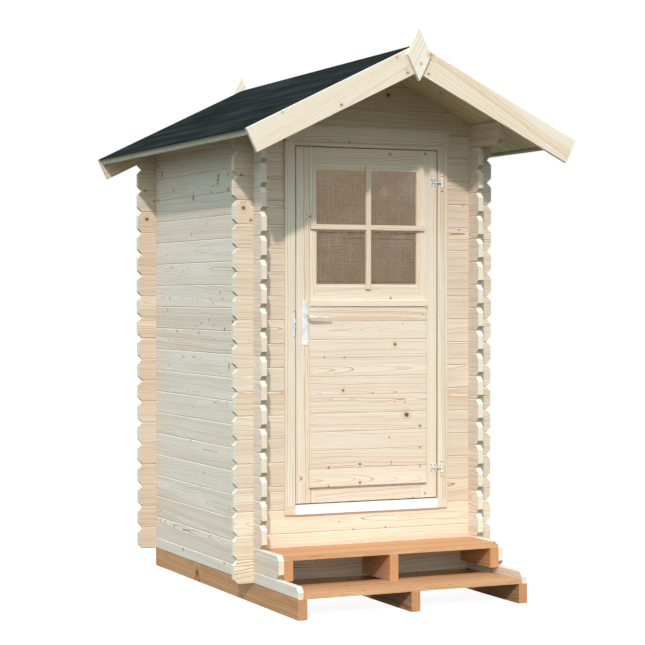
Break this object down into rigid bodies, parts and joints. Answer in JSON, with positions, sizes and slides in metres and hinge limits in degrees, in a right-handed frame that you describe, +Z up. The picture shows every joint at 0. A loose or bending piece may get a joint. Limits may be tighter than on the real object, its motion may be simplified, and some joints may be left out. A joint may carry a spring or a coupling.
{
  "type": "wooden garden shed",
  "caption": "Small log shed with a felted saddle roof, a half glazed door that opens outwards and two plank steps on impregnated joists.",
  "frame": {"origin": "middle of the shed's outer box, on the ground under the joists", "axes": "+Z up, -Y towards the front with the door, +X to the right seen from the front"},
  "size_m": [1.704, 2.204, 2.6946],
  "materials": {
    "pine": "planed spruce, untreated",
    "floor_pine": "planed spruce, untreated",
    "roof_pine": "planed spruce, untreated",
    "treated_pine": "pine, brown pressure impregnated",
    "roof_felt": "bitumen felt with fine slate grit",
    "white_strip": "plain white",
    "glass": "clear float glass",
    "brown_cloth": "coarse plain weave",
    "satin_metal": "satin"
  },
  "bodies": {
    "shed": {"joists": "treated_pine", "cross_beams": "treated_pine", "lower_tread": "treated_pine", "upper_tread": "treated_pine", "step_bearers": "treated_pine", "floor_bearers": "floor_pine", "floor_boards": "floor_pine", "left_wall_logs_a": "pine", "left_wall_logs_b": "pine", "right_wall_logs_a": "pine", "right_wall_logs_b": "pine", "back_wall_logs_a": "pine", "back_wall_logs_b": "pine", "front_base_logs_a": "pine", "front_base_logs_b": "pine", "front_side_logs_a": "pine", "front_side_logs_b": "pine", "front_lintel_log": "pine", "front_gable_logs_a": "pine", "front_gable_logs_b": "pine", "roof_boards_left": "roof_pine", "roof_boards_right": "roof_pine", "eave_strips": "pine", "roof_felt": "roof_felt", "front_barge_boards": "pine", "back_barge_boards": "pine", "finials": "pine", "frame_sill": "pine", "frame_jambs": "pine", "frame_head": "pine", "header_board": "pine", "threshold_strip": "white_strip", "hinge_pins": "satin_metal", "strike_plate": "satin_metal"},
    "door": {"door_stiles": "pine", "door_rails": "pine", "door_planks": "pine", "door_ledge": "pine", "glazing_beads": "pine", "door_glass": "glass", "door_cloth": "brown_cloth", "glazing_bars": "pine", "handle_plates": "satin_metal", "lock_cylinder": "satin_metal", "hinge_leaves": "satin_metal"},
    "lever": {"handle_lever": "satin_metal"}
  },
  "joints": [
    {"name": "door_swing", "type": "hinge", "parent": "shed", "child": "door", "pos_m": [0.403, -0.564, 1.324], "axis": [0, 0, 1], "range_deg": [0, 110]},
    {"name": "lever_turn", "type": "hinge", "parent": "door", "child": "lever", "pos_m": [-0.334, -0.53, 1.367], "axis": [0, 1, 0], "range_deg": [0, 40], "stiffness_Nm_per_rad": 0.6, "springref_deg": -20.05}
  ]
}
